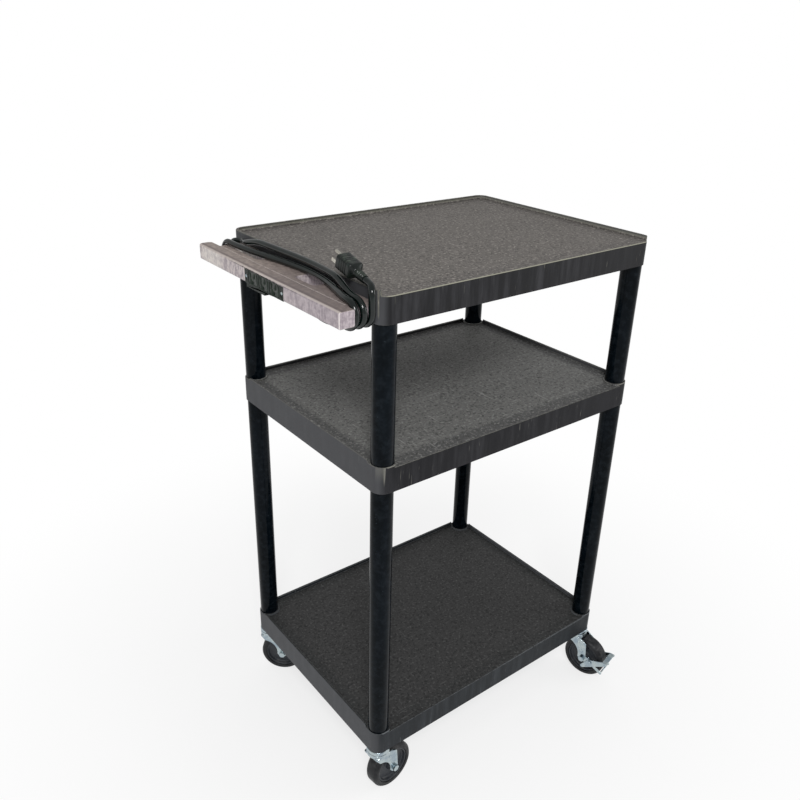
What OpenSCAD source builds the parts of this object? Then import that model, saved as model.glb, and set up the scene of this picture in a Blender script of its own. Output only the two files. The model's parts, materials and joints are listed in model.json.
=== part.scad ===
/* [Shelves] */
// Length of each shelf, from the handle end to the far end
shelf_l = 610; // [520:5:800]
// Depth of each shelf, front to back
shelf_d = 457; // [440:1:600]
// Height of the bottom deck above the floor
deck_low = 158; // [156:1:170]
// Height of the middle deck above the floor
deck_mid = 727; // [500:1:850]
// Height of the top deck above the floor
deck_top = 1010; // [900:1:1200]
// Height of a shelf's edge below its deck
edge_h = 44; // [43:0.5:46]
// Height of the lips above the deck
lip_h = 8; // [6:0.5:14]
// Thickness of the lips
lip_t = 5; // [3:0.5:8]
// Thickness of the edge walls under the deck
skirt_t = 3.2; // [2.5:0.1:5]
// Thickness of the deck
deck_t = 3.6; // [2.5:0.1:5]
// Radius of the shelf corners
corner_r = 21; // [20.5:0.1:21.5]
// Height of the ribs under the deck
rib_h = 12; // [6:1:20]
// Thickness of the ribs under the deck
rib_t = 2.5; // [2:0.1:4]

/* [Legs] */
// Outer diameter of the leg tubes
leg_d = 38; // [36:0.5:38.5]
// Wall of the leg tubes
leg_wall = 2.2; // [1.5:0.1:3]
// Height of the collar rims above the deck
rim_h = 4; // [2:0.5:5]
// Wall of the sockets, inside the shelf
socket_wall = 3.5; // [2.5:0.1:5]
// Floor and web thickness inside the sockets
socket_floor = 5; // [4:0.5:8]
// Clearance between a leg and its socket
socket_gap = 0.1; // [0.05:0.01:0.1]

/* [Casters] */
// Diameter of the wheels
wheel_d = 95; // [92:0.5:95]
// Width of the tyres
wheel_w = 29; // [24:0.5:29]
// Distance from the swivel axis to the axle
trail = 28; // [24:0.5:32]
// Diameter of the swivel races
race_d = 44; // [42:0.5:48]
// Height of the fixed race cup
cup_h = 7.7; // [7:0.1:8]
// Height of the moving race ring
ring_h = 7.7; // [7:0.1:8]
// Thickness of the fork plates
fork_t = 2.5; // [2:0.1:3]
// Diameter of the caster stem
stem_d = 11; // [9:0.1:12]
// Length of the stem above the race cup
stem_l = 44; // [30:1:60]
// Diameter of the axle bolt
axle_d = 8; // [6:0.5:9]
// Wall of the sleeve round the axle bolt
sleeve_wall = 1.9; // [1.5:0.1:2.5]
// Diameter of a swivel ball
ball_d = 4.8; // [4:0.1:5]
// Number of balls in each swivel
ball_n = 8; // [6:1:12]
// Where the front left wheel trails, from the far end direction towards the back
turn_front_left = 7; // [0:1:359]
// Where the front right wheel trails, the back right one mirroring it
turn_front_right = 283; // [271:1:300]
// Where the back left wheel trails
turn_back_left = 319; // [0:1:359]

/* [Brakes] */
// Distance from the axle back to the brake pivot
pivot_back = 21; // [19:0.5:23]
// Distance from the brake pivot to the pedal's edge
pedal_reach = 40; // [38:0.5:46]
// Depth of the pedal plate
pedal_l = 11; // [6:0.5:12]
// Thickness of the lever's plate
lever_t = 2; // [1.5:0.1:2.5]
// Diameter of the brake rivets
rivet_d = 5; // [4:0.1:6]
// Gap from the brake shoe to the tread with the brake off
shoe_gap = 2; // [1.9:0.1:3]
// How far below the pivot's level the shoe stands, in degrees about the pivot
shoe_turn = 28; // [26:1:30]

/* [Handle] */
// Length of the grip bar
bar_l = 448; // [430:1:470]
// Width of the grip bar
bar_w = 27; // [24:0.5:34]
// Height of the grip bar
bar_h = 26; // [26:0.5:30]
// Radius of the bar's long edges
bar_edge_r = 3; // [1:0.5:3]
// Radius of the bar's far end, seen from above
bar_end_r = 10; // [6:0.5:13]
// Distance from the shelf's end to the bar
hub_w = 42; // [42:0.5:60]
// Thickness of the hub that the cord is wound on
hub_t = 30; // [28:0.5:36]
// Length of the hub, end to end
hub_l = 412; // [400:1:414]
// How far the handle's top lies below the top deck
handle_drop = 10; // [10:0.5:14]
// Length of the long grip slot
slot_long = 118; // [80:1:120]
// Length of the short slot
slot_short = 58; // [40:1:60]
// Wall left between the slots and the shelf
slot_wall = 3; // [3:0.5:6]
// Width of the slots
slot_w = 29; // [20:0.5:29]
// Diameter of the handle bolts
bolt_d = 6; // [4:0.5:8]

/* [Outlets] */
// Length of the outlet panel
panel_l = 122; // [118:1:130]
// Height of the outlet panel
panel_h = 23; // [22.5:0.1:23.5]
// Distance from the bar's middle to the panel's far edge
panel_end = 50; // [48:1:54]
// Thickness of the faceplate
plate_t = 2.2; // [1.5:0.1:3]
// Depth of the outlet housing behind the faceplate
housing_depth = 31.5; // [28:0.5:31.5]
// Wall of the outlet housing
housing_wall = 2; // [1.5:0.1:2.5]
// Distance between the receptacles' middles
receptacle_pitch = 34; // [33.5:0.1:34.5]
// Width of a receptacle's face
receptacle_w = 30.8; // [28:0.1:31]
// Height of a receptacle's face
receptacle_h = 20; // [19.8:0.1:20.4]
// Length of the junction chamber under the bar
chamber_l = 60; // [50:1:62]
// Depth of the junction chamber below the bar
chamber_h = 8; // [8:0.5:20]

/* [Cord and plug] */
// Diameter of the power cord
cord_d = 10.5; // [8:0.1:10.5]
// Length of the strain relief at the chamber
relief_l = 26; // [20:1:40]
// Width of the plug body
plug_w = 26; // [22:0.5:26]
// Thickness of the plug body
plug_t = 24; // [20:0.5:24]
// Length of the plug body
plug_l = 40; // [34:0.5:44]
// Length of the plug's strain relief
plug_relief_l = 20; // [20:0.5:30]
// Length of the flat blades
blade_l = 17.5; // [15:0.5:19]

/* [Hidden] */
$fn = 48;
over = 1;
seat_gap = 0.3;
fit_gap = 0.05;

// Legs stand at the centres of the corner curves
leg_x = shelf_l / 2 - corner_r;
leg_y = shelf_d / 2 - corner_r;
socket_r = leg_d / 2 + socket_gap;
collar_r = socket_r + socket_wall;
floor_low = deck_low - edge_h;

// Heights of the swivel, from the shelf down
race_gap = 0.6;
cup_z = floor_low - cup_h;
ring_z = cup_z - race_gap - ring_h;
crown_z = ring_z - fork_t;
head_gap = 0.3;
head_h = 3;
head_rim = 2.5;
head_r = stem_d / 2 + head_rim;
ball_ring_r = 14;
ball_gap = 0.2;
groove_r = ball_d / 2 + ball_gap;

// Caster widths, from the middle plane out
wheel_r = wheel_d / 2;
side_gap = 1.5;
fork_in = wheel_w / 2 + side_gap;
fork_out = fork_in + fork_t;
fork_foot_r = 9;
shoulder_back = 2;
shoulder_drop = 9;
shoulder_r = 4;
arch_r = 33;
arch_wall = 2;
arch_lift = 4.5;
rib_shares = [[0.55, 0.78], [0.88, 0.36]];
crown_l = 36;
crown_w = 2 * fork_out;
sleeve_r = axle_d / 2 + sleeve_wall;
bolt_head_r = 7;
bolt_head_h = 5.3;
nut_h = 6.5;
bolt_end = 2;
rib_r = 3;
rib_out = 0.8;

// Wheel body
core_r = 36.5;
hub_r = 12;
hub_end_gap = 1.2;
rim_wall = 3.5;
rim_w = 25;
web_w = 10;
tread_r = 5;

// Brake lever, which sits outside the fork plates
lever_gap = 0.4;
lever_in = fork_out + lever_gap;
lever_out = lever_in + lever_t;
ear_r = 7;
rivet_head_r = 4.5;
rivet_head_h = 1.6;
pedal_z = 18;
pedal_rim = 5.5;
arm_r = 6.5;
shoe_r = 1.6;
tail_l = 30;
tail_turn = 228;
tail_r = 4;
shoe_ring_r = wheel_r + shoe_gap + shoe_r;
shoe_reach = sqrt(pow(shoe_ring_r, 2) - pow(pivot_back * sin(shoe_turn), 2))
    - pivot_back * cos(shoe_turn);
turn_back_right = 360 - turn_front_right;

// Handle places, from the shelf's end out and from the top down
shelf_end = -shelf_l / 2;
bar_in = shelf_end - hub_w;
bar_out = bar_in - bar_w;
handle_z = deck_top - handle_drop;
hub_end_r = hub_t / 2;
hub_z = handle_z - hub_end_r;
hub_y = hub_l / 2 - hub_end_r;
hub_mid_y = -6;
near_y = hub_mid_y - hub_y;
far_y = hub_mid_y + hub_y;
slot_x = shelf_end - slot_wall - slot_w / 2;
slot_corner_r = 8;
slot_long_y = 130;
slot_short_y = -71;
corner_bolt_in = 78.5;
mid_bolt_y = -20;
far_bolt_y = 60;
bolt_ys = [corner_bolt_in - shelf_d / 2, mid_bolt_y, far_bolt_y];
bolt_l = 26;
bolt_cap_r = 5.5;
bolt_cap_h = 4;
washer_r = 8;
washer_t = 1.5;

// The frame's origin is under the middle of the cart's box
pedal_tip = trail + pivot_back + pedal_reach;
box_right = leg_x + pedal_tip * cos(turn_front_right) + lever_out * abs(sin(turn_front_right));
origin_x = (bar_out + box_right) / 2;

// Outlet places
panel_start = panel_end - panel_l;
panel_y = (panel_start + panel_end) / 2;
panel_z = handle_z - bar_h + panel_h / 2;
plate_gap = 0.2;
housing_in = bar_out + plate_t + housing_depth;
housing_end_wall = 8.8;
screw_r = 1.6;
screw_head_r = 2.8;
screw_head_h = 1.2;
screw_l = 10;
screw_y = panel_l / 2 - plate_gap - housing_end_wall / 2;
receptacle_corner_r = 4;
receptacle_recess = 0.3;
receptacle_back = 21.5;
receptacle_rim = 1;
receptacle_rim_t = 2;
blade_pitch = 12.7;
blade_slot_t = 2;
blade_slot_w = 7.5;
ground_r = 2.6;
ground_drop = 11.9;
slot_depth = 15;
blade_lift = 5.6;
contact_t = 1.5;
contact_h = 3.5;
contact_pitch = 6;
contact_end = 6;
chamber_end = panel_end - plate_gap;
chamber_start = chamber_end - chamber_l;
chamber_in = bar_in - over - seat_gap;

// Cord and plug places
cord_r = cord_d / 2;
relief_r = 7.2;
relief_tip_r = 6.1;
relief_neck_r = 6;
relief_collar = 3;
relief_in = 17;
relief_x = bar_out + relief_in;
relief_z = handle_z - bar_h + relief_r + seat_gap;
relief_y = panel_start + plate_gap;
channel_gap = 0.5;
channel_w = 2 * (relief_r + channel_gap);
channel_l = 96;
wind_r = hub_end_r + cord_r + seat_gap;
pass_gap = 0.55;
last_pass_in = 9;
far_in_1 = 14;
far_in_2 = 28;
pass_1 = bar_in + cord_r + pass_gap;
pass_3 = shelf_end - last_pass_in;
pass_2 = (pass_1 + pass_3) / 2;
far_1 = bar_in + far_in_1;
far_2 = bar_in + far_in_2;
bow_1 = shelf_end - cord_r - 2 * pass_gap - (pass_1 + far_1) / 2;
bow_2 = 12;
bow_skew_share = 0.72;
rise_share = 0.2;
second_rise = 14.8;
drop_share = 0.25;
swing_x = 8;
swing_at = -12;
swing_l = 16;
swing_share = 1.5;
end_run = 12;
plug_at = [-306.5, -190, 1027];
plug_yaw = 0;
plug_pitch = 15;
lead_route = [[-357, -119, 980.4], [-356.6, -128, 976.8], [-355.8, -138, 971.6], [-354, -148, 967.2],
    [-350.5, -158, 964.6], [-345.5, -167, 964.2]];
end_route = [[-312.4, -215.3, 1015.6], [-310.2, -211.2, 1020.6], [-308, -206.6, 1023.2]];

function smooth(v) = (1 - cos(180 * max(0, min(1, v)))) / 2;

// Places of the winding, as [x, y, z], along one pass after another.
// A pass is a top run, the far end, a bottom run and the near end.
function lerp(a, b, s) = a + (b - a) * s;
function bow(s) = (1 - cos(360 * pow(s, bow_skew_share))) / 2;
function swing(l) = swing_x * exp(-pow((l - swing_at) / swing_l, 2));
function end_point(x, r, a, side) = [x, hub_mid_y + side * (hub_y + r * cos(a)), hub_z + r * sin(a)];

// First pass: over the top with a bow towards the shelf, down at the far end
function top_1(s) = [lerp(pass_1, far_1, s) + bow_1 * bow(s), lerp(near_y, far_y, s), hub_z + wind_r];
function far_turn_1(s) = end_point(far_1, wind_r, 90 - 180 * s, 1);
function low_1(s) = [lerp(far_1, pass_2, s), lerp(far_y, near_y, s), hub_z - wind_r];
function near_turn(x, s) = end_point(x, wind_r, -90 + 180 * s, -1);

// Second pass: on top of the first, down beside it at the far end
function rise_2(s) = second_rise
    * (smooth(s / rise_share) - smooth((s - 1 + drop_share) / drop_share));
function top_2(s) = [lerp(pass_2, far_2, s) + bow_2 * bow(s) + swing(-2 * hub_y * (1 - s)),
    lerp(near_y, far_y, s), hub_z + wind_r + rise_2(s)];
function far_x_2(a) = far_2 + (a > 0 ? swing((90 - a) * wind_r * 2 * PI / 360 * swing_share) : 0);
function far_turn_2(s) = end_point(far_x_2(90 - 180 * s), wind_r, 90 - 180 * s, 1);
function low_2(s) = [lerp(far_2, pass_3, s), lerp(far_y, near_y, s), hub_z - wind_r];

// Steps along the whole winding, so many to a run and so many to an end
function steps(n) = [for (i = [0:n - 1]) i / n];
wind_start = near_turn(pass_1, 0) + [0, end_run, 0];
wind_end = near_turn(pass_3, 0.5) + [0, 0, end_run];
function winding(run, turn) = concat([wind_start],
    [for (s = steps(turn)) near_turn(pass_1, s)],
    [for (s = steps(run)) top_1(s)],
    [for (s = steps(turn)) far_turn_1(s)],
    [for (s = steps(run)) low_1(s)],
    [for (s = steps(turn)) near_turn(pass_2, s)],
    [for (s = steps(run)) top_2(s)],
    [for (s = steps(turn)) far_turn_2(s)],
    [for (s = steps(run)) low_2(s)],
    [for (s = steps(turn)) if (s < 0.5) near_turn(pass_3, s)],
    [near_turn(pass_3, 0.5), wind_end]);

// Sweeps a round tube along points, with square ends
function unit(v) = v / norm(v);
function heading(p, i) = unit(p[min(i + 1, len(p) - 1)] - p[max(i - 1, 0)]);
function side_of(p, i, last) = let (h = heading(p, i)) unit(last - h * (last * h));
function sides(p, i = 0, last = [1, 0, 0], out = []) = i == len(p) ? out
    : let (s = side_of(p, i, last)) sides(p, i + 1, s, concat(out, [s]));
module tube(p, r, n) {
    across = sides(p);
    points = [for (i = [0:len(p) - 1]) let (h = heading(p, i), a = across[i], b = cross(h, a))
        for (k = [0:n - 1]) p[i] + r * (cos(360 * k / n) * a + sin(360 * k / n) * b)];
    walls = [for (i = [0:len(p) - 2]) for (k = [0:n - 1]) let (m = (k + 1) % n)
        for (t = [[i * n + k, i * n + m, (i + 1) * n + m], [i * n + k, (i + 1) * n + m, (i + 1) * n + k]]) t];
    first = [for (k = [1:n - 2]) [0, k + 1, k]];
    base = (len(p) - 1) * n;
    final = [for (k = [1:n - 2]) [base, base + k, base + k + 1]];
    polyhedron([for (q = points) q], [for (t = concat(walls, first, final)) [t[0], t[2], t[1]]]);
}

// The winding's least gap to itself, measured between points over two diameters apart along it
gap_points = winding(40, 20);
gap_skip = 12;
self_gap = min([for (i = [0:len(gap_points) - 1 - gap_skip]) for (j = [i + gap_skip:len(gap_points) - 1])
    norm(gap_points[i] - gap_points[j])]) - cord_d;
echo(least_winding_gap_mm = self_gap);

// Places that repeat
corner_places = [["front_left", -1, -1, turn_front_left], ["front_right", 1, -1, turn_front_right],
    ["back_left", -1, 1, turn_back_left], ["back_right", 1, 1, turn_back_right]];

module in_frame() {
    translate([-origin_x, 0, 0]) children();
}

module at_legs() {
    for (c = corner_places) translate([c[1] * leg_x, c[2] * leg_y, 0]) children();
}

module at_leg(i) {
    c = corner_places[i];
    in_frame() translate([c[1] * leg_x, c[2] * leg_y, 0]) children();
}

// A caster's own frame: X trails behind the swivel, Y runs along the axle
module at_caster(i) {
    at_leg(i) rotate([0, 0, corner_places[i][3]]) children();
}

module at_axle(i) {
    at_caster(i) translate([trail, 0, wheel_r]) children();
}

// Turns a solid made along +Z to lie along +Y
module along_axle() {
    rotate([-90, 0, 0]) children();
}

// Turns a solid made along +Z to lie along +X
module along_x() {
    rotate([0, 90, 0]) children();
}

module rounded_rect(l, d, r) {
    square([l - 2 * r, d], center = true);
    square([l, d - 2 * r], center = true);
    for (x = [-1, 1]) for (y = [-1, 1]) translate([x * (l / 2 - r), y * (d / 2 - r)]) circle(r);
}

// A shelf: deck, edge walls, lips on three sides, ribs and corner sockets
module tray(deck_z, collars) {
    front = -shelf_d / 2;
    nose_y = front + lip_h + skirt_t;
    difference() {
        union() {
            difference() {
                translate([0, 0, deck_z - edge_h]) linear_extrude(edge_h + lip_h)
                    rounded_rect(shelf_l, shelf_d, corner_r);
                // Dish above the deck, open at the front
                translate([0, 0, deck_z]) linear_extrude(lip_h + over) difference() {
                    union() {
                        rounded_rect(shelf_l - 2 * lip_t, shelf_d - 2 * lip_t, corner_r - lip_t);
                        translate([-shelf_l / 2 + lip_t, front - over])
                            square([shelf_l - 2 * lip_t, shelf_d / 2]);
                    }
                    if (collars) at_legs() circle(collar_r);
                }
                // Collars stand lower than the lips
                if (collars) at_legs() translate([0, 0, deck_z + rim_h])
                    cylinder(r = collar_r + over, h = lip_h);
                // The end lips round down to the front edge
                difference() {
                    translate([-shelf_l / 2 - over, front - over, deck_z])
                        cube([shelf_l + 2 * over, nose_y - front + over, lip_h + over]);
                    translate([-shelf_l / 2 - 2 * over, nose_y, deck_z]) along_x()
                        cylinder(r = lip_h, h = shelf_l + 4 * over);
                    if (collars) at_legs() translate([0, 0, deck_z - over])
                        cylinder(r = collar_r, h = rim_h + over);
                }
                // Hollow underside
                translate([0, 0, deck_z - edge_h - over]) linear_extrude(edge_h - deck_t + over)
                    difference() {
                        rounded_rect(shelf_l - 2 * skirt_t, shelf_d - 2 * skirt_t, corner_r - skirt_t);
                        at_legs() circle(collar_r);
                    }
            }
            // Stiffening ribs
            for (y = [-1, 1]) translate([-shelf_l / 2 + skirt_t / 2, y * shelf_d / 6 - rib_t / 2,
                    deck_z - deck_t - rib_h])
                cube([shelf_l - skirt_t, rib_t, rib_h + deck_t / 2]);
            for (x = [-1, 0, 1]) translate([x * shelf_l / 4 - rib_t / 2, -shelf_d / 2 + skirt_t / 2,
                    deck_z - deck_t - rib_h])
                cube([rib_t, shelf_d - skirt_t, rib_h + deck_t / 2]);
        }
        children();
    }
}

module top_shelf() {
    color("dimgray") in_frame() tray(deck_top, false) {
        union() {
            at_legs() translate([0, 0, deck_top - edge_h - over])
                cylinder(r = socket_r, h = edge_h + over - socket_floor);
            for (y = bolt_ys) translate([shelf_end - over, y, hub_z]) along_x()
                cylinder(r = bolt_d / 2 + fit_gap, h = skirt_t + 2 * over);
        }
    }
}

mid_web_z = deck_mid - edge_h / 2 - socket_floor / 2;

module middle_shelf() {
    color("dimgray") in_frame() tray(deck_mid, true) {
        at_legs() {
            translate([0, 0, deck_mid - edge_h - over])
                cylinder(r = socket_r, h = mid_web_z - deck_mid + edge_h + over);
            translate([0, 0, mid_web_z + socket_floor])
                cylinder(r = socket_r, h = edge_h + lip_h);
        }
    }
}

module bottom_shelf() {
    color("darkslategray") in_frame() tray(deck_low, true) {
        at_legs() {
            translate([0, 0, floor_low + socket_floor])
                cylinder(r = socket_r, h = edge_h + lip_h);
            translate([0, 0, floor_low - over])
                cylinder(r = stem_d / 2 + socket_gap, h = socket_floor + 2 * over);
        }
    }
}

// A leg tube between two socket floors
module leg_tube(i, low, high) {
    color("darkslateblue") at_leg(i) translate([0, 0, low]) difference() {
        cylinder(d = leg_d, h = high - low);
        translate([0, 0, -over]) cylinder(d = leg_d - 2 * leg_wall, h = high - low + 2 * over);
    }
}

module upper_leg(i) {
    leg_tube(i, mid_web_z + socket_floor, deck_top - socket_floor);
}

module lower_leg(i) {
    leg_tube(i, floor_low + socket_floor, mid_web_z);
}

// Grip bar with the winding hub between it and the shelf
module push_handle() {
    color("rosybrown") in_frame() difference() {
        union() {
            translate([(bar_out + bar_in) / 2, 0, handle_z - bar_h / 2]) intersection() {
                rotate([90, 0, 0]) linear_extrude(bar_l, center = true)
                    rounded_rect(bar_w, bar_h, bar_edge_r);
                linear_extrude(bar_h + over, center = true) {
                    rounded_rect(bar_w, bar_l, bar_end_r);
                    translate([-bar_w / 2, -bar_l / 2]) square([bar_w, bar_l / 2]);
                }
            }
            translate([bar_in - over, near_y, handle_z - hub_t]) cube([hub_w + over, 2 * hub_y, hub_t]);
            for (y = [near_y, far_y]) translate([bar_in - over, y, hub_z]) along_x()
                cylinder(r = hub_end_r, h = hub_w + over);
        }
        for (s = [[slot_long, slot_long_y], [slot_short, slot_short_y]])
            translate([slot_x, s[1], handle_z - hub_t - over])
                linear_extrude(hub_t + 2 * over) rounded_rect(slot_w, s[0], slot_corner_r);
        translate([bar_out - over, panel_start, handle_z - bar_h - over])
            cube([housing_in + plate_gap - bar_out + over, panel_l, panel_h + over]);
        // Channel for the cord, open below
        translate([relief_x - channel_w / 2, panel_start - channel_l, handle_z - bar_h - over])
            cube([channel_w, channel_l + over, channel_w + over]);
        for (y = bolt_ys) translate([shelf_end - bolt_l, y, hub_z]) along_x()
            cylinder(r = bolt_d / 2 + fit_gap, h = bolt_l + over);
    }
}

module handle_bolts() {
    color("silver") in_frame() for (y = bolt_ys)
        translate([shelf_end - bolt_l + over, y, hub_z]) along_x() {
            cylinder(d = bolt_d, h = bolt_l - over + skirt_t + washer_t);
            translate([0, 0, bolt_l - over + skirt_t + washer_t])
                cylinder(r = bolt_cap_r, h = bolt_cap_h, $fn = 6);
        }
}

module handle_washers() {
    color("gainsboro") in_frame() for (y = bolt_ys)
        translate([shelf_end + skirt_t, y, hub_z]) along_x() difference() {
            cylinder(r = washer_r, h = washer_t);
            translate([0, 0, -over]) cylinder(r = bolt_d / 2 + fit_gap, h = washer_t + 2 * over);
        }
}

// Open-fronted box in the bar, with the junction chamber below it
module outlet_housing() {
    front = bar_out + plate_t;
    low = handle_z - bar_h;
    color("darkslategray") in_frame() difference() {
        union() {
            translate([front, panel_start + plate_gap, low])
                cube([housing_depth, panel_l - 2 * plate_gap, panel_h - plate_gap]);
            translate([front, chamber_start, low - chamber_h])
                cube([chamber_in - front, chamber_l, chamber_h + housing_wall]);
        }
        translate([front - over, panel_start + plate_gap + housing_end_wall, low + housing_wall / 2])
            cube([housing_depth - housing_wall + over, panel_l - 2 * plate_gap - 2 * housing_end_wall,
                panel_h - plate_gap - housing_wall]);
        translate([front + housing_wall, chamber_start + housing_wall, low - chamber_h + housing_wall])
            cube([chamber_in - front - 2 * housing_wall, chamber_l - housing_wall - housing_end_wall,
                chamber_h]);
        translate([relief_x, relief_y - over, relief_z]) along_axle()
            cylinder(r = relief_neck_r + fit_gap, h = housing_end_wall + 2 * over);
        for (y = [-1, 1]) translate([front - over, panel_y + y * screw_y, panel_z]) along_x()
            cylinder(r = screw_r + fit_gap, h = screw_l + over);
    }
}

module outlet_faceplate() {
    color("darkslategray") in_frame() difference() {
        translate([bar_out, panel_start + plate_gap, handle_z - bar_h])
            cube([plate_t, panel_l - 2 * plate_gap, panel_h - plate_gap]);
        for (i = [-1, 0, 1]) translate([bar_out - over, panel_y + i * receptacle_pitch, panel_z])
            rotate([90, 0, 90]) linear_extrude(plate_t + 2 * over)
                rounded_rect(receptacle_w + plate_gap, receptacle_h + plate_gap,
                    receptacle_corner_r + plate_gap / 2);
        for (y = [-1, 1]) translate([bar_out - over, panel_y + y * screw_y, panel_z]) along_x() {
            cylinder(r = screw_r + fit_gap, h = plate_t + 2 * over);
            cylinder(r = screw_head_r + fit_gap, h = screw_head_h + over);
        }
    }
}

// Three receptacles, each with two blade slots and a ground hole
module outlet_receptacles() {
    face = bar_out + receptacle_recess;
    color("black") in_frame() for (i = [-1, 0, 1])
        translate([face, panel_y + i * receptacle_pitch, panel_z]) rotate([90, 0, 90]) difference() {
            union() {
                linear_extrude(receptacle_back) rounded_rect(receptacle_w, receptacle_h, receptacle_corner_r);
                translate([0, 0, plate_t - receptacle_recess]) linear_extrude(receptacle_rim_t)
                    rounded_rect(receptacle_w + receptacle_rim, receptacle_h + receptacle_rim / 2,
                        receptacle_corner_r);
            }
            for (y = [-1, 1]) translate([y * blade_pitch / 2 - blade_slot_t / 2,
                    blade_lift - blade_slot_w / 2, -over])
                cube([blade_slot_t, blade_slot_w, slot_depth + over]);
            translate([0, blade_lift - ground_drop, -over]) cylinder(r = ground_r, h = slot_depth + over);
        }
}

// Contact bars that run behind all the receptacles
module outlet_contacts() {
    color("goldenrod") in_frame() for (i = [-1, 0, 1])
        translate([bar_out + receptacle_recess + receptacle_back + plate_gap,
                panel_start + plate_gap + housing_end_wall + contact_end / 2,
                panel_z + i * contact_pitch - contact_h / 2])
            cube([contact_t, panel_l - 2 * plate_gap - 2 * housing_end_wall - contact_end, contact_h]);
}

module faceplate_screws() {
    color("silver") in_frame() for (y = [-1, 1])
        translate([bar_out, panel_y + y * screw_y, panel_z]) along_x() difference() {
            union() {
                cylinder(r = screw_head_r, h = screw_head_h);
                cylinder(r = screw_r, h = screw_l);
            }
            translate([-screw_head_r, -screw_r / 4, -over]) cube([2 * screw_head_r, screw_r / 2,
                screw_head_h / 2 + over]);
        }
}

// Collar outside the housing's end wall, neck through it, taper along the cord
module strain_relief() {
    color("dimgray") in_frame() translate([relief_x, relief_y, relief_z]) rotate([90, 0, 0]) {
        translate([0, 0, -housing_wall]) cylinder(r = relief_neck_r, h = housing_wall);
        cylinder(r = relief_r, h = relief_collar);
        translate([0, 0, relief_collar])
            cylinder(r1 = relief_r, r2 = relief_tip_r, h = relief_l - relief_collar);
    }
}

module power_cord_lead() {
    tip = [relief_x, relief_y - relief_l, relief_z];
    color("black") in_frame() tube(concat([tip, tip - [0, end_run, 0]], lead_route,
        [wind_start + [0, end_run, 0], wind_start]), cord_r, 8);
}

module power_cord_winding() {
    color("black") in_frame() tube(winding(5, 8), cord_r, 6);
}

// The plug's own frame: +Z runs from the cord's end to the blades' tips
module at_plug() {
    in_frame() translate(plug_at) rotate([-(90 - plug_pitch), 0, plug_yaw]) children();
}
plug_way = [-sin(plug_yaw) * cos(plug_pitch), cos(plug_yaw) * cos(plug_pitch), sin(plug_pitch)];

module power_cord_end() {
    color("black") in_frame() tube(concat([wind_end, wind_end + [0, 0, end_run]], end_route,
        [plug_at - end_run * plug_way, plug_at]), cord_r, 8);
}

module plug_body() {
    shoulder = plug_t / 4;
    color("black") at_plug() {
        cylinder(r1 = relief_tip_r, r2 = relief_r, h = plug_relief_l);
        hull() {
            translate([0, 0, plug_relief_l]) linear_extrude(over) rounded_rect(2 * relief_r, 2 * relief_r,
                relief_r - fit_gap);
            translate([0, 0, plug_relief_l + shoulder]) linear_extrude(plug_l - plug_t / 4)
                rounded_rect(plug_w, plug_t, plug_t / 3);
        }
    }
}

module plug_blades() {
    tip = plug_relief_l + plug_l;
    color("silver") at_plug() {
        for (x = [-1, 1]) translate([x * blade_pitch / 2 - blade_slot_t * 3 / 8, plug_t / 8, tip])
            cube([blade_slot_t * 3 / 4, blade_slot_w * 5 / 6, blade_l]);
        translate([0, plug_t / 8 + blade_slot_w * 5 / 12 - ground_drop, tip])
            cylinder(r = ground_r - plate_gap, h = blade_l + over);
    }
}

// Plugs in the lower ends of the lower legs, bored for the stems
module caster_inserts() {
    color("black") in_frame() at_legs() translate([0, 0, floor_low + socket_floor]) difference() {
        cylinder(r = leg_d / 2 - leg_wall - fit_gap, h = stem_l);
        translate([0, 0, -over]) cylinder(r = stem_d / 2 + fit_gap, h = stem_l + 2 * over);
    }
}

module groove(z) {
    rotate_extrude() translate([ball_ring_r, z]) circle(groove_r);
}

// Fixed half of the swivel: stem, race cup and kingpin with its riveted head
module caster_stem(i) {
    color("lightgray") at_caster(i) difference() {
        union() {
            translate([0, 0, crown_z - head_gap - head_h / 2]) cylinder(d = stem_d,
                h = floor_low - crown_z + head_gap + head_h / 2 + stem_l);
            translate([0, 0, cup_z]) cylinder(d = race_d, h = cup_h);
            translate([0, 0, crown_z - head_gap - head_h]) cylinder(r = head_r, h = head_h);
        }
        groove(cup_z - race_gap / 2);
    }
}

module swivel_balls() {
    color("silver") for (i = [0:3]) at_caster(i) for (k = [0:ball_n - 1])
        rotate([0, 0, 360 * k / ball_n]) translate([ball_ring_r, 0, cup_z - race_gap / 2])
            sphere(d = ball_d);
}

module fork_plate(side, braked) {
    y = side > 0 ? fork_in : -fork_out;
    difference() {
        hull() {
            translate([-crown_l / 2, y, crown_z]) cube([crown_l, fork_t, fork_t]);
            translate([trail + shoulder_back, y, crown_z - shoulder_drop]) along_axle()
                cylinder(r = shoulder_r, h = fork_t, $fn = 32);
            translate([trail, y, wheel_r]) along_axle() cylinder(r = fork_foot_r, h = fork_t);
        }
        // The front edge curves in above the axle
        translate([trail - arch_r - fork_foot_r - arch_wall, y - over, wheel_r + arch_lift]) along_axle()
            cylinder(r = arch_r, h = fork_t + 2 * over);
    }
    if (braked) hull() {
        translate([trail, y, wheel_r]) along_axle() cylinder(r = fork_foot_r - over, h = fork_t);
        translate([trail + pivot_back, y, wheel_r]) along_axle() cylinder(r = ear_r, h = fork_t);
    }
    // Pressed rib on the outside of the plate
    hull() for (s = rib_shares) translate([trail * s[0], side > 0 ? fork_out - rib_out : -fork_out - rib_out,
            lerp(wheel_r, crown_z, s[1])]) along_axle()
        cylinder(r = rib_r, h = 2 * rib_out, $fn = 32);
}

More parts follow.
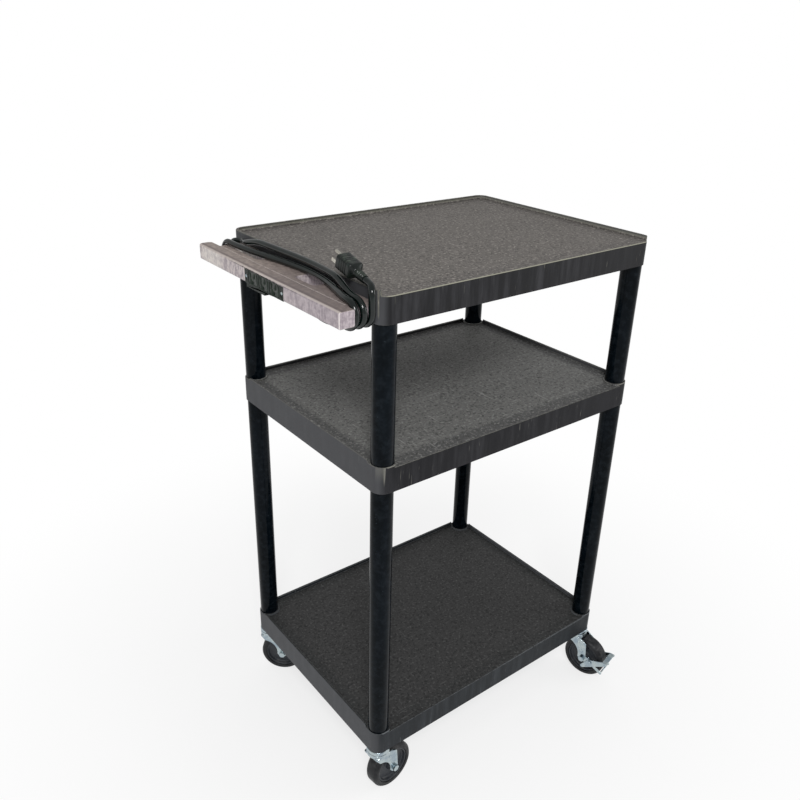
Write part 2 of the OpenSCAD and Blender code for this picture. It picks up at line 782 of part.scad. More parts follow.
// Moving half of the swivel: race ring, crown and two plates down to the axle
module fork(i, braked) {
    color("lightgray") at_caster(i) difference() {
        union() {
            translate([0, 0, ring_z]) cylinder(d = race_d, h = ring_h);
            translate([0, 0, crown_z]) linear_extrude(fork_t)
                rounded_rect(crown_l + 2 * over, crown_w, fork_t);
            for (side = [-1, 1]) fork_plate(side, braked);
        }
        translate([0, 0, crown_z - over])
            cylinder(r = stem_d / 2 + socket_gap, h = ring_h + fork_t + 2 * over);
        groove(cup_z - race_gap / 2);
        translate([trail, -fork_out - over, wheel_r]) along_axle()
            cylinder(r = axle_d / 2 + fit_gap, h = crown_w + 2 * over);
        if (braked) translate([trail + pivot_back, -fork_out - over, wheel_r]) along_axle()
            cylinder(r = rivet_d / 2 + fit_gap, h = crown_w + 2 * over);
    }
}

module axle_sleeve(i) {
    color("gray") at_axle(i) translate([0, -fork_in + fit_gap, 0]) along_axle() difference() {
        cylinder(r = sleeve_r, h = 2 * (fork_in - fit_gap));
        translate([0, 0, -over]) cylinder(r = axle_d / 2 + fit_gap, h = 2 * fork_in + 2 * over);
    }
}

// Bolt through both plates, with its nut on the far side
module axle_bolt(i) {
    color("silver") at_axle(i) translate([0, -fork_out, 0]) along_axle() {
        translate([0, 0, -bolt_head_h]) cylinder(r = bolt_head_r, h = bolt_head_h, $fn = 6);
        cylinder(d = axle_d, h = crown_w + nut_h + bolt_end);
        translate([0, 0, crown_w]) difference() {
            cylinder(r = bolt_head_r, h = nut_h, $fn = 6);
            translate([0, 0, -over]) cylinder(r = axle_d / 2 + fit_gap, h = nut_h + 2 * over);
        }
    }
}

module wheel_hub(i) {
    color("dimgray") at_axle(i) along_axle() rotate_extrude() {
        translate([sleeve_r + 2 * fit_gap, -fork_in + hub_end_gap])
            square([hub_r - sleeve_r - 2 * fit_gap, 2 * (fork_in - hub_end_gap)]);
        translate([hub_r - over, -web_w / 2]) square([core_r - hub_r, web_w]);
        translate([core_r - rim_wall, -rim_w / 2]) square([rim_wall, rim_w]);
    }
}

module tyre(i) {
    band = wheel_r - core_r - fit_gap;
    color("black") at_axle(i) along_axle() rotate_extrude() translate([core_r + fit_gap, 0]) {
        translate([0, -wheel_w / 2]) square([band - tread_r, wheel_w]);
        translate([0, -wheel_w / 2 + tread_r]) square([band, wheel_w - 2 * tread_r]);
        for (y = [-1, 1]) translate([band - tread_r, y * (wheel_w / 2 - tread_r)]) circle(tread_r);
    }
}

// The brake lever's own frame has its origin on the brake pivot
module at_brake(i) {
    at_caster(i) translate([trail + pivot_back, 0, wheel_r]) children();
}

// Two cheeks outside the fork, the pedal plate and the shoe bar between them, a toe below
module brake_lever(i) {
    pedal_in = pedal_reach - pedal_l;
    color("lightgray") at_brake(i) {
        difference() {
            union() {
                for (y = [-lever_out, lever_in]) {
                    hull() {
                        translate([0, y, 0]) along_axle() cylinder(r = arm_r, h = lever_t, $fn = 32);
                        translate([pedal_in, y, pedal_z - pedal_rim]) cube([pedal_l, lever_t, pedal_rim]);
                        rotate([0, -tail_turn, 0]) translate([tail_l - tail_r, y, 0]) along_axle()
                            cylinder(r = tail_r, h = lever_t, $fn = 32);
                    }
                    hull() {
                        translate([0, y, 0]) along_axle() cylinder(r = tail_r, h = lever_t, $fn = 32);
                        rotate([0, shoe_turn, 0]) translate([shoe_reach, y, 0]) along_axle()
                            cylinder(r = 2 * shoe_r, h = lever_t, $fn = 32);
                    }
                }
                translate([pedal_in, -lever_in - over, pedal_z - lever_t])
                    cube([pedal_l, 2 * (lever_in + over), lever_t]);
                rotate([0, shoe_turn, 0]) translate([shoe_reach, -lever_in - over, 0]) along_axle()
                    cylinder(r = shoe_r, h = 2 * (lever_in + over));
            }
            translate([0, -lever_out - over, 0]) along_axle()
                cylinder(r = rivet_d / 2 + fit_gap, h = 2 * (lever_out + over));
        }
    }
}

// Stub rivets that hold the lever's cheeks to the fork's ears
module brake_rivets(i) {
    color("silver") at_brake(i) for (side = [-1, 1]) rotate([0, 0, side > 0 ? 0 : 180]) {
        translate([0, fork_in, 0]) along_axle()
            cylinder(d = rivet_d, h = lever_out - fork_in + lever_gap);
        translate([0, lever_out + lever_gap / 2, 0]) along_axle()
            cylinder(r = rivet_head_r, h = rivet_head_h);
    }
}

top_shelf();
middle_shelf();
bottom_shelf();
upper_leg(0);  // upper_leg_front_left
upper_leg(1);  // upper_leg_front_right
upper_leg(2);  // upper_leg_back_left
upper_leg(3);  // upper_leg_back_right
lower_leg(0);  // lower_leg_front_left
lower_leg(1);  // lower_leg_front_right
lower_leg(2);  // lower_leg_back_left
lower_leg(3);  // lower_leg_back_right
push_handle();
handle_bolts();
handle_washers();
outlet_housing();
outlet_faceplate();
outlet_receptacles();
outlet_contacts();
faceplate_screws();
strain_relief();
power_cord_lead();
power_cord_winding();
power_cord_end();
plug_body();
plug_blades();
caster_inserts();
swivel_balls();
caster_stem(0);  // caster_stem_front_left
caster_stem(1);  // caster_stem_front_right
caster_stem(2);  // caster_stem_back_left
caster_stem(3);  // caster_stem_back_right
fork(0, false);  // fork_front_left
fork(1, true);  // fork_front_right
fork(2, false);  // fork_back_left
fork(3, true);  // fork_back_right
axle_sleeve(0);  // axle_sleeve_front_left
axle_sleeve(1);  // axle_sleeve_front_right
axle_sleeve(2);  // axle_sleeve_back_left
axle_sleeve(3);  // axle_sleeve_back_right
axle_bolt(0);  // axle_bolt_front_left
axle_bolt(1);  // axle_bolt_front_right
axle_bolt(2);  // axle_bolt_back_left
axle_bolt(3);  // axle_bolt_back_right
wheel_hub(0);  // wheel_hub_front_left
wheel_hub(1);  // wheel_hub_front_right
wheel_hub(2);  // wheel_hub_back_left
wheel_hub(3);  // wheel_hub_back_right
tyre(0);  // tyre_front_left
tyre(1);  // tyre_front_right
tyre(2);  // tyre_back_left
tyre(3);  // tyre_back_right
brake_lever(1);  // brake_lever_front_right
brake_lever(3);  // brake_lever_back_right
brake_rivets(1);  // brake_rivets_front_right
brake_rivets(3);  // brake_rivets_back_right
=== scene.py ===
import json

import bmesh
import bpy
import numpy as np
from mathutils import Matrix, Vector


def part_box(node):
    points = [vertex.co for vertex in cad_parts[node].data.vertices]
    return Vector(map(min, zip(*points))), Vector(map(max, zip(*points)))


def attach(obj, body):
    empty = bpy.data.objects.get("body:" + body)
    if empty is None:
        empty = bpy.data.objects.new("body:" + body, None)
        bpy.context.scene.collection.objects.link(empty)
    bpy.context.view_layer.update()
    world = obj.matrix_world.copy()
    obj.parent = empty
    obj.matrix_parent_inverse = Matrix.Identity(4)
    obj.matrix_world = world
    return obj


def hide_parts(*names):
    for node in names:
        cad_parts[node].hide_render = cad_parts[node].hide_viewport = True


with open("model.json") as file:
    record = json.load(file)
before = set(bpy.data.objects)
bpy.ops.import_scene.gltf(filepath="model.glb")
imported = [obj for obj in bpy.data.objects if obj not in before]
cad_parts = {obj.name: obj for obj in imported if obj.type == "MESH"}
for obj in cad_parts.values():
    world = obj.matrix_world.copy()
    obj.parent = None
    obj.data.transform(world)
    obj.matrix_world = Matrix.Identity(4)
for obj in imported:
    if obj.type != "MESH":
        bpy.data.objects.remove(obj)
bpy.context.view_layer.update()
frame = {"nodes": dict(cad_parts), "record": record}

# Camera. It stands where the photographer stood: a little above the top shelf, looking down and to
# the right past the near front corner. Turn, tilt and lens come from fitting the shelf and leg edges.
turn, tilt, lean = np.radians([38.079, 25.131, 1.443])
camera_at = (-0.92269, -1.0954, 1.3591)
ahead = np.array([np.sin(turn) * np.cos(tilt), np.cos(turn) * np.cos(tilt), -np.sin(tilt)])
level = np.array([np.cos(turn), -np.sin(turn), 0.0])
above = np.cross(level, ahead)
right = np.cos(lean) * level + np.sin(lean) * above
up = np.cos(lean) * above - np.sin(lean) * level
lens = bpy.data.cameras.new("camera")
lens.sensor_width = 36.0
lens.lens = 36.198
camera = bpy.data.objects.new("camera", lens)
bpy.context.scene.collection.objects.link(camera)
axes = np.stack([right, up, -ahead], 1)
camera.matrix_world = Matrix([[*row, place] for row, place in zip(axes, camera_at)] + [[0, 0, 0, 1]])
bpy.context.scene.camera = camera

# Power cord. A round three-core cord in a soft black jacket, 10.5 mm thick. It leaves the strain relief
# under the grip bar, goes twice over and under the hub between bar and shelf, and ends in its plug.
# The second pass lies on the first and comes down beside it at the far end.
home = {node: body for body, group in frame["record"]["behaviour"]["bodies"].items() for node in group}
slot_of = {part["node"]: part["material_slot"] for part in frame["record"]["subparts"]}
shelf_low, shelf_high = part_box("top_shelf")
shelf_mid = (shelf_low.x + shelf_high.x) / 2
cord_r = 0.00525
near_y, far_y = -0.197, 0.185  # the middles of the hub's two rounded ends
hub_z, wind_r = 0.985, 0.02055  # the hub's middle height, and the winding's radius about it
passes, fars = (-0.3412, -0.3276, -0.314), (-0.333, -0.319)  # x from the shelf's middle, near end and far end
bow_widths = (0.02575, 0.012)
plug_at = np.array([-0.3065, -0.19, 1.027])
plug_pitch = np.radians(15)
plug_way = np.array([0, np.cos(plug_pitch), np.sin(plug_pitch)])


def ease(v):
    """Half a cosine wave, from 0 at v = 0 to 1 at v = 1, flat outside."""
    return (1 - np.cos(np.pi * np.clip(v, 0, 1))) / 2


def top_run(s, start, end, bow, lift, swing):
    """A run over the hub from the near end to the far one: x goes straight from start to end, plus a bow of
    one skewed cosine wave and a swing of one bell curve at the far end; z is the hub's top plus a lift."""
    x = start + (end - start) * s + bow * (1 - np.cos(2 * np.pi * s ** 0.72)) / 2
    x = x + swing((far_y - near_y) * (s - 1))
    return np.stack([x, near_y + (far_y - near_y) * s, hub_z + wind_r + lift(s)], 1)


def hub_end(x, angle, side):
    """Points round one end of the hub: a circle of the winding's radius about its rounded end, side 1 far
    and -1 near."""
    y = (far_y if side > 0 else near_y) + side * wind_r * np.cos(angle)
    return np.stack([x + 0 * angle, y, hub_z + wind_r * np.sin(angle)], 1)


def low_run(s, start, end):
    """A straight run under the hub, from the far end back to the near one."""
    return np.stack([start + (end - start) * s, far_y + (near_y - far_y) * s, hub_z - wind_r + 0 * s], 1)


def cord_route(run, bend):
    """The cord's middle line from the strain relief's tip to the plug, as points: so many to a run along
    the hub and so many to a bend round its end."""
    s, t = np.arange(run) / run, np.arange(bend) / bend
    climb, fall = np.pi * (t - 0.5), np.pi * (0.5 - t)
    bell = lambda along: 0.008 * np.exp(-((along + 0.012) / 0.016) ** 2)
    rise = lambda v: 0.0148 * (ease(v / 0.2) - ease((v - 0.75) / 0.25))
    still = lambda v: 0 * v
    far_x = fars[1] + np.where(fall > 0, bell((np.pi / 2 - fall) * wind_r * 3), 0)
    tip = np.array([[-0.357, -0.0978, 0.9815], [-0.357, -0.1098, 0.9815]])
    lead = np.array([[-0.357, -0.119, 0.9804], [-0.3566, -0.128, 0.9768], [-0.3558, -0.138, 0.9716],
                     [-0.354, -0.148, 0.9672], [-0.3505, -0.158, 0.9646], [-0.3455, -0.167, 0.9642]])
    start = hub_end(passes[0], np.array([-np.pi / 2]), -1)
    end = hub_end(passes[2], np.array([0.0]), -1)
    rest = np.array([[-0.3124, -0.2153, 1.0156], [-0.3102, -0.2112, 1.0206], [-0.308, -0.2066, 1.0232]])
    return np.concatenate([
        tip, lead, start + [0, 0.024, 0], start + [0, 0.012, 0],
        hub_end(passes[0], climb, -1), top_run(s, passes[0], fars[0], bow_widths[0], still, still),
        hub_end(fars[0], fall, 1), low_run(s, fars[0], passes[1]),
        hub_end(passes[1], climb, -1), top_run(s, passes[1], fars[1], bow_widths[1], rise, bell),
        hub_end(far_x, fall, 1), low_run(s, fars[1], passes[2]),
        hub_end(passes[2], climb[:bend // 2], -1),
        end, end + [0, 0, 0.012], rest, [plug_at - 0.012 * plug_way, plug_at]]) + [shelf_mid, 0, 0]


def evened(points, step, spread):
    """The same line with points a step apart, each a bell-weighted mean of the line within a few spreads,
    so that its corners round off; both ends stay where they are."""
    def walk(p, gap):
        along = np.r_[0, np.cumsum(np.linalg.norm(np.diff(p, axis=0), axis=1))]
        even = np.linspace(0, along[-1], int(along[-1] / gap) + 1)
        return np.stack([np.interp(even, along, p[:, k]) for k in range(3)], 1), even
    fine, even = walk(points, step / 3)
    reach = np.minimum(spread, np.minimum(even, even[-1] - even) / 3) + 1e-6
    weight = np.exp(-0.5 * ((even[:, None] - even[None]) / reach[:, None]) ** 2)
    soft = weight @ fine / weight.sum(1, keepdims=True)
    soft[[0, -1]] = fine[[0, -1]]
    return walk(soft, step)[0]


def shell(name, grid, caps=True):
    """A mesh from points grid[i, j]: i goes along and j round. Four neighbours make a face, j closes on
    itself, and one flat face closes each end. UV holds j's share round and the real distance along i."""
    rows, cols = grid.shape[:2]
    i, j = np.meshgrid(np.arange(rows - 1), np.arange(cols), indexing="ij")
    k = (j + 1) % cols
    quads = np.stack([i * cols + j, i * cols + k, (i + 1) * cols + k, (i + 1) * cols + j], -1).reshape(-1, 4)
    faces = quads.tolist()
    if caps:
        faces += [list(range(cols))[::-1], list(range((rows - 1) * cols, rows * cols))]
    mesh = bpy.data.meshes.new(name)
    mesh.from_pydata(grid.reshape(-1, 3).tolist(), [], faces)
    along = np.r_[0, np.cumsum(np.linalg.norm(np.diff(grid.mean(1), axis=0), axis=1))]
    uv = np.stack([np.stack([j, j + 1, j + 1, j], -1) / cols,
                   np.stack([along[i], along[i], along[i + 1], along[i + 1]], -1)], -1).reshape(-1, 2)
    layer = mesh.uv_layers.new(name="length")
    full = np.zeros((len(mesh.loops), 2))
    full[:len(uv)] = uv
    layer.data.foreach_set("uv", full.ravel())
    mesh.shade_smooth()
    mesh.set_sharp_from_angle(angle=np.radians(40))
    made = bpy.data.objects.new(name, mesh)
    bpy.context.scene.collection.objects.link(made)
    return made


def tube(name, path, radius, sides):
    """A round tube along a path: each ring is middle + radius * (cos * side + sin * across), where side is
    the X direction made square to the path."""
    way = np.gradient(path, axis=0)
    way /= np.linalg.norm(way, axis=1, keepdims=True)
    side = np.array([1.0, 0, 0]) - way * way[:, :1]
    side /= np.linalg.norm(side, axis=1, keepdims=True)
    across = np.cross(way, side)
    a = np.arange(sides) / sides * 2 * np.pi
    ring = np.cos(a)[:, None] * side[:, None] + np.sin(a)[:, None] * across[:, None]
    return shell(name, path[:, None] + radius * ring)


def wire(tree, kind, settings=None, out=0, **sockets):
    """Adds a shader node, sets what is given and links what comes from another node. Returns one output.
    A socket's key is its name with _ for spaces, or i and its number."""
    made = tree.nodes.new("ShaderNode" + kind)
    for key, value in (settings or {}).items():
        setattr(made, key, value)
    for key, value in sockets.items():
        name = int(key[1:]) if key[0] == "i" and key[1:].isdigit() else key.replace("_", " ")
        if isinstance(value, bpy.types.NodeSocket):
            tree.links.new(value, made.inputs[name])
        else:
            made.inputs[name].default_value = value
    return made.outputs[out]


def calc(tree, how, a, b=0.0):
    """One sum on two values: MULTIPLY, ADD, SUBTRACT, MAXIMUM and so on."""
    return wire(tree, "Math", {"operation": how}, i0=a, i1=b)


def step(tree, value, low, high, to_low=0.0, to_high=1.0):
    """A soft step from to_low to to_high while value goes from low to high."""
    return wire(tree, "MapRange", {"interpolation_type": "SMOOTHSTEP"}, Value=value,
                From_Min=low, From_Max=high, To_Min=to_low, To_Max=to_high)


def tint(tree, share, a, b):
    """Colour a with colour b laid on it by share."""
    return wire(tree, "Mix", {"data_type": "RGBA"}, out=2, i0=share, i6=a, i7=b)


def colour(red, green, blue):
    """A screen colour, 0 to 255, as the linear one that shaders take."""
    c = np.array([red, green, blue]) / 255
    return (*np.where(c <= 0.04045, c / 12.92, ((c + 0.055) / 1.055) ** 2.4), 1.0)


def blotches(tree, where, scale, detail, rough=0.55, stretch=None):
    """Cloudy values from 0 to 1; stretch squeezes the pattern along each axis."""
    if stretch:
        where = wire(tree, "Mapping", Vector=where, Scale=stretch)
    return wire(tree, "TexNoise", Vector=where, Scale=scale, Detail=detail, Roughness=rough)


def parts(tree, vector):
    """A vector's x, y and z, each as one output."""
    split = tree.nodes.new("ShaderNodeSeparateXYZ")
    tree.links.new(vector, split.inputs[0])
    return list(split.outputs)


def relief(tree, height, depth, strength):
    """A normal with the height pressed into it, depth in metres."""
    return wire(tree, "Bump", Height=height, Distance=depth, Strength=strength)


def finish_of(name, **sockets):
    """A new material with its one Principled shader: constants go straight on the shader's sockets.
    Returns the material, its tree, the shader and the Object coordinates."""
    made = bpy.data.materials.new(name)
    made.use_nodes = True
    tree = made.node_tree
    shader = tree.nodes["Principled BSDF"]
    for key, value in sockets.items():
        shader.inputs[key.replace("_", " ")].default_value = value
    return made, tree, shader, wire(tree, "TexCoord", out="Object")


def feed(tree, shader, **sockets):
    """Links worked-out values into the shader."""
    for key, value in sockets.items():
        tree.links.new(value, shader.inputs[key.replace("_", " ")])


def group(name, ins, outs):
    """A node group; ins and outs give each socket's name and kind. Returns its tree, the outputs of its input
    node and its output node."""
    tree = bpy.data.node_groups.new(name, "ShaderNodeTree")
    for way, sockets in (("INPUT", ins), ("OUTPUT", outs)):
        for socket, kind in sockets.items():
            tree.interface.new_socket(name=socket, in_out=way, socket_type="NodeSocket" + kind)
    return tree, tree.nodes.new("NodeGroupInput").outputs, tree.nodes.new("NodeGroupOutput")


def use(tree, made, out, **sockets):
    """Places a group in a tree. Returns the named output."""
    placed = tree.nodes.new("ShaderNodeGroup")
    placed.node_tree = made
    for key, value in sockets.items():
        if isinstance(value, bpy.types.NodeSocket):
            tree.links.new(value, placed.inputs[key.replace("_", " ")])
        else:
            placed.inputs[key.replace("_", " ")].default_value = value
    return placed.outputs[out]


def dress(made, material, *nodes):
    """Gives a finished piece its material, lets it stand for its nodes, and takes its body from the first of
    them."""
    slot, body = slot_of[nodes[0]], home[nodes[0]]
    made.data.materials.clear()
    made.data.materials.append(material)
    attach(made, body)
    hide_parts(*nodes)


# Fine dust, for most of the black pieces: a cloudy mask that is strongest on faces looking up
tree, given, result = group("dust_film", {"Where": "Vector", "Scale": "Float", "Amount": "Float"},
                            {"Mask": "Float"})
upward = parts(tree, wire(tree, "NewGeometry", out="Normal"))[2]
cloud = step(tree, blotches(tree, given["Where"], given["Scale"], 5.0, 0.65), 0.42, 0.72)
settled = calc(tree, "MULTIPLY", calc(tree, "ADD", step(tree, upward, 0.1, 0.9), 0.25), cloud)
tree.links.new(calc(tree, "MULTIPLY", settled, given["Amount"]), result.inputs["Mask"])
dust_film = tree

jacket, tree, shader, where = finish_of("cord_jacket", Specular_IOR_Level=0.45)
around, along, _ = parts(tree, wire(tree, "UVMap", {"uv_map": "length"}))
twist = calc(tree, "ADD", around, calc(tree, "MULTIPLY", along, 9.0))
lay = wire(tree, "TexWave", {"wave_type": "BANDS", "bands_direction": "X"}, Scale=0.9549, Distortion=0.0,
           Detail=0.0, Vector=wire(tree, "CombineXYZ", X=twist))
worn = blotches(tree, where, 90.0, 5.0, 0.6)
dusty = use(tree, dust_film, "Mask", Where=where, Scale=55.0, Amount=0.16)
base = tint(tree, step(tree, worn, 0.35, 0.7), colour(3, 10, 9), colour(8, 20, 18))
height = calc(tree, "ADD", calc(tree, "MULTIPLY", lay, 0.5), blotches(tree, where, 700.0, 3.0))
feed(tree, shader, Base_Color=tint(tree, dusty, base, colour(46, 64, 60)),
     Roughness=step(tree, worn, 0.3, 0.75, 0.07, 0.15), Normal=relief(tree, height, 0.00012, 0.2))

cord_path = evened(cord_route(run=60, bend=26), step=0.004, spread=0.0026)
cord = tube("power_cord", cord_path, cord_r, 18)
dress(cord, jacket, "power_cord_lead", "power_cord_winding", "power_cord_end")

# Plug. A moulded three-pin plug on the cord's end: a ribbed sleeve that swells into a flat-faced block with
# finger grips, in the cord's own soft vinyl. The blades are nickel-plated.
vinyl, tree, shader, where = finish_of("plug_vinyl", Specular_IOR_Level=0.35)
worn = blotches(tree, where, 120.0, 5.0, 0.62)
rubbed = step(tree, worn, 0.52, 0.72)
dusty = use(tree, dust_film, "Mask", Where=where, Scale=80.0, Amount=0.4)
feed(tree, shader, Base_Color=tint(tree, dusty, tint(tree, rubbed, colour(8, 15, 13), colour(22, 34, 30)),
                                   colour(84, 96, 84)),
     Roughness=step(tree, worn, 0.3, 0.7, 0.22, 0.42),
     Normal=relief(tree, blotches(tree, where, 900.0, 3.0), 0.00015, 0.6))


def loft(name, heights, widths, depths, squareness, place, sides=64):
    """A closed form through rounded-square sections: at each height, x = width * |cos|^(2/n) and
    y = depth * |sin|^(2/n), signs kept, where n is the section's squareness."""
    a = np.arange(sides) / sides * 2 * np.pi
    n = 2 / np.asarray(squareness, float)[:, None]
    x = np.asarray(widths)[:, None] * np.sign(np.cos(a)) * np.abs(np.cos(a)) ** n
    y = np.asarray(depths)[:, None] * np.sign(np.sin(a)) * np.abs(np.sin(a)) ** n
    z = np.broadcast_to(np.asarray(heights, float)[:, None], x.shape)
    return shell(name, np.stack([x, y, z], -1) @ place[:3, :3].T + place[:3, 3])


plug_place = np.array(Matrix.Translation((plug_at[0] + shelf_mid, plug_at[1], plug_at[2]))
                      @ Matrix.Rotation(plug_pitch - np.pi / 2, 4, "X"))
h = np.concatenate([np.linspace(0, 0.020, 41), np.linspace(0.0204, 0.027, 12),
                    np.linspace(0.0276, 0.0592, 40), [0.0596, 0.0599, 0.06]])
swell = ease((h - 0.0195) / 0.0075)
ribs = 0.0005 * np.where(h < 0.019, np.cos(2 * np.pi * h / 0.004), 0) * ease(h / 0.002)
grips = 0.0011 * sum(np.exp(-((h - at) / 0.0011) ** 2) for at in (0.034, 0.039, 0.044, 0.049))
edge = 0.0014 * ease((h - 0.0585) / 0.0016)
sleeve = 0.0061 + 0.0009 * h / 0.02
half_w = sleeve + ribs + (0.013 - sleeve) * swell - grips - edge
half_t = sleeve + ribs + (0.012 - sleeve) * swell - 0.4 * grips - edge
plug = loft("plug", h, half_w, half_t, 2 + 2.6 * swell, plug_place)
dress(plug, vinyl, "plug_body")


def softened(node, width, segments, pick=None):
    """A copy of a node's mesh with its points merged, its flat faces joined except below, and its sharp
    outward edges rounded by a bevel. pick gives each edge's share of the width from the edge's middle point
    and direction. With no width the faces stay as they are and the edges stay sharp."""
    sharp_turn = np.radians(32)
    mesh = frame["nodes"][node].data.copy()
    mesh.name = node + "_form"
    form = bmesh.new()
    form.from_mesh(mesh)
    bmesh.ops.remove_doubles(form, verts=form.verts, dist=2e-6)
    if width:
        seen = [e for e in form.edges if min(f.normal.z for f in e.link_faces) > -0.5]
        bmesh.ops.dissolve_limit(form, angle_limit=np.radians(0.4), verts=form.verts, edges=seen)
    weight = form.edges.layers.float.new("bevel_weight_edge")
    sharp = [e for e in form.edges if e.is_convex and e.calc_face_angle() > sharp_turn]
    ends = np.array([[*e.verts[0].co, *e.verts[1].co] for e in sharp]).reshape(-1, 2, 3)
    shares = pick(ends.mean(1), ends[:, 1] - ends[:, 0]) if pick else np.ones(len(sharp))
    for e, share in zip(sharp, shares):
        e[weight] = share
    form.to_mesh(mesh)
    form.free()
    mesh.shade_smooth()
    made = bpy.data.objects.new(node + "_form", mesh)
    bpy.context.scene.collection.objects.link(made)
    if not width:
        mesh.set_sharp_from_angle(angle=sharp_turn)
        return made
    bevel = made.modifiers.new("edges", "BEVEL")
    bevel.width, bevel.segments, bevel.limit_method = width, segments, "WEIGHT"
    bevel.use_clamp_overlap = False
    flat = made.modifiers.new("flat_faces", "WEIGHTED_NORMAL")
    flat.weight, flat.keep_sharp = 100, False
    return made


nickel, tree, shader, where = finish_of("blade_nickel", Metallic=1.0)
worn = blotches(tree, where, 300.0, 5.0, 0.6, (1.0, 4.0, 4.0))
base = tint(tree, step(tree, worn, 0.45, 0.7), colour(205, 202, 192), colour(150, 144, 130))
feed(tree, shader, Base_Color=base, Roughness=step(tree, worn, 0.3, 0.8, 0.16, 0.42),
     Normal=relief(tree, worn, 0.00005, 0.5))
blades = softened("plug_blades", 0.0005, 2)
dress(blades, nickel, "plug_blades")

# Strain relief. A moulded sleeve that guards the cord where it leaves the junction chamber: a flange against
# the chamber, then a taper cut by grooves, so that it bends little by little.
relief_at = (shelf_mid - 0.357, -0.0718, 0.9815)
h = np.concatenate([[-0.002, -0.0019, 0, 0.0001], np.linspace(0.0006, 0.0026, 6),
                    np.linspace(0.0032, 0.026, 58)])
taper = 0.0072 - 0.0011 * np.clip((h - 0.003) / 0.023, 0, 1)
grooves = np.where(h > 0.004, 0.0007 * np.clip(4 * np.cos(2 * np.pi * (h - 0.004) / 0.0042) - 2, 0, 1), 0)
width = np.where(h < 0, 0.006, taper - grooves - 0.0004 * (np.abs(h - 0.0016) > 0.0014) * (h < 0.004))
guard_place = np.array(Matrix.Translation(relief_at) @ Matrix.Rotation(np.pi / 2, 4, "X"))
guard = loft("strain_relief_sleeve", h, width, width, 2 + 0 * h, guard_place, 40)
dress(guard, vinyl, "strain_relief")

# Worn edges, for the shelves, the handle and the outlets: a mask where the surface turns sharply within a
# width, broken up by clouds
tree, given, result = group("edge_wear", {"Where": "Vector", "Width": "Float", "Scale": "Float"},
                            {"Mask": "Float"})
round_way = wire(tree, "Bevel", {"samples": 6}, Radius=given["Width"])
true_way = wire(tree, "NewGeometry", out="Normal")
bend = wire(tree, "VectorMath", {"operation": "DOT_PRODUCT"}, out="Value", i0=round_way, i1=true_way)
cloud = step(tree, blotches(tree, given["Where"], given["Scale"], 5.0, 0.7), 0.3, 0.62)
tree.links.new(calc(tree, "MULTIPLY", step(tree, bend, 0.985, 0.86), cloud), result.inputs["Mask"])
edge_wear = tree

# Pebble grain of a textured mould: rounded cells a millimetre or two across, with finer tooth between them
tree, given, result = group("pebble_grain", {"Where": "Vector", "Scale": "Float"}, {"Height": "Float"})
cells = wire(tree, "TexVoronoi", {"feature": "SMOOTH_F1"}, Vector=given["Where"], Scale=given["Scale"],
             Smoothness=0.6)
tooth = blotches(tree, given["Where"], calc(tree, "MULTIPLY", given["Scale"], 1.7), 3.0, 0.5)
height = calc(tree, "ADD", calc(tree, "SUBTRACT", 1.0, cells), calc(tree, "MULTIPLY", tooth, 0.6))
tree.links.new(height, result.inputs["Height"])
pebble_grain = tree

# Rubbed streaks down a side wall: clouds drawn out along Z, with short pale scratches among them
tree, given, result = group("wall_streaks", {"Where": "Vector", "Scale": "Float"},
                            {"Mask": "Float", "Scratch": "Float"})
drawn = blotches(tree, given["Where"], given["Scale"], 6.0, 0.6, (1.0, 1.0, 0.12))
tree.links.new(step(tree, drawn, 0.4, 0.75), result.inputs["Mask"])
slanted = wire(tree, "Mapping", Vector=given["Where"], Rotation=(0.2, 0.3, 0.1), Scale=(6.0, 6.0, 0.5))
thin = step(tree, blotches(tree, slanted, given["Scale"], 2.0, 0.5), 0.66, 0.74)
few = step(tree, blotches(tree, given["Where"], 14.0, 2.0, 0.5), 0.5, 0.62)
tree.links.new(calc(tree, "MULTIPLY", thin, few), result.inputs["Scratch"])
wall_streaks = tree

# Shelves. Three moulded trays of black structural plastic: a grained deck with a smooth border, a raised lip
# on the back and both ends, deep plain side walls, ribs and corner sockets below. Each is one moulding. The
# top one is the most rubbed and dusted. The decks are painted lighter than the walls, partly for dust and
# scuffs and partly as painted light from above, and the bottom tray is painted darkest, as painted shade.
half_long, half_deep = 0.305, 0.2285  # from a tray's middle to its outer faces
leg_x, leg_y = 0.284, 0.2075  # from its middle to the legs


def laid(tree, under, *layers):
    """The colour under, with each layer's colour laid on it in turn by the layer's share."""
    for share, over in layers:
        under = tint(tree, share, under, over)
    return under


